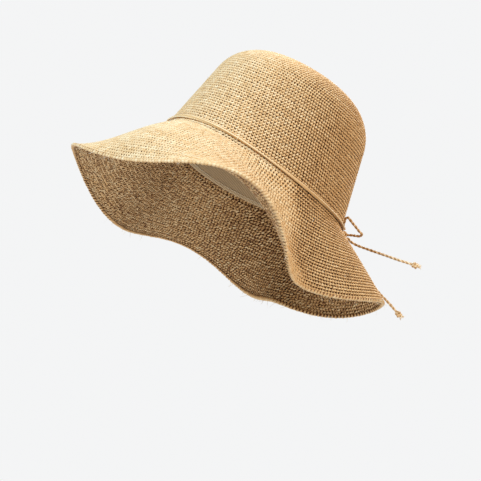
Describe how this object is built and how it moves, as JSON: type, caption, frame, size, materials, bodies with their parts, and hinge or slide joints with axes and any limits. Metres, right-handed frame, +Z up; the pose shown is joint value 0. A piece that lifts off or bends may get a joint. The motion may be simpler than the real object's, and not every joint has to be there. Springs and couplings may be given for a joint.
{
  "type": "straw sun hat",
  "caption": "Crocheted straw sun hat with a rounded crown, a soft wavy brim, an inner sweatband and a twisted cord tied in a bow.",
  "frame": {"origin": "middle of the head opening, level with the crown's foot, where the crown meets the brim", "axes": "+Z up along the crown, -Y to the front of the hat, +X to the wearer's left"},
  "size_m": [0.273, 0.3286, 0.1998],
  "materials": {
    "straw": "crocheted raffia, pale golden, dry and slightly shiny on the strands",
    "straw_edge": "the last crochet round, pale golden raffia with short stray fibres",
    "wire": "thin drawn edge wire",
    "cotton": "beige cotton grosgrain ribbon",
    "thread": "cotton sewing thread",
    "label": "blank woven label",
    "cord": "two plies of raffia twisted into a cord, a little darker and warmer than the hat",
    "carrier_thread": "thin raffia thread",
    "loose_straw": "frayed raffia ends"
  },
  "bodies": {
    "hat": {"crown_top": "straw", "crown_wall": "straw", "brim": "straw", "brim_edging": "straw_edge", "edge_wire": "wire", "sweatband": "cotton", "sweatband_stitching": "thread", "size_label": "label", "trim_cord": "cord", "carrier_loop_left": "carrier_thread", "carrier_loop_right": "carrier_thread", "bow_knot": "cord"},
    "near_loop": {"bow_loop_near": "cord"},
    "far_loop": {"bow_loop_far": "cord"},
    "long_tail": {"tail_long": "cord", "tail_long_knot": "cord", "tail_long_tuft": "loose_straw"},
    "short_tail": {"tail_short": "cord", "tail_short_knot": "cord", "tail_short_tuft": "loose_straw"}
  },
  "joints": [
    {"name": "near_loop_lift", "type": "hinge", "parent": "hat", "child": "near_loop", "pos_m": [0.039, 0.098, 0.003], "axis": [-0.5736, -0.8192, 0], "range_deg": [-5, 40]},
    {"name": "far_loop_lift", "type": "hinge", "parent": "hat", "child": "far_loop", "pos_m": [0.039, 0.098, 0.003], "axis": [0.5, 0.866, 0], "range_deg": [-12, 40]},
    {"name": "long_tail_lift", "type": "hinge", "parent": "hat", "child": "long_tail", "pos_m": [0.039, 0.098, 0.003], "axis": [0.5, -0.866, 0], "range_deg": [-15, 45]},
    {"name": "short_tail_lift", "type": "hinge", "parent": "hat", "child": "short_tail", "pos_m": [0.039, 0.098, 0.003], "axis": [0.866, -0.5, 0], "range_deg": [-8, 35]}
  ]
}
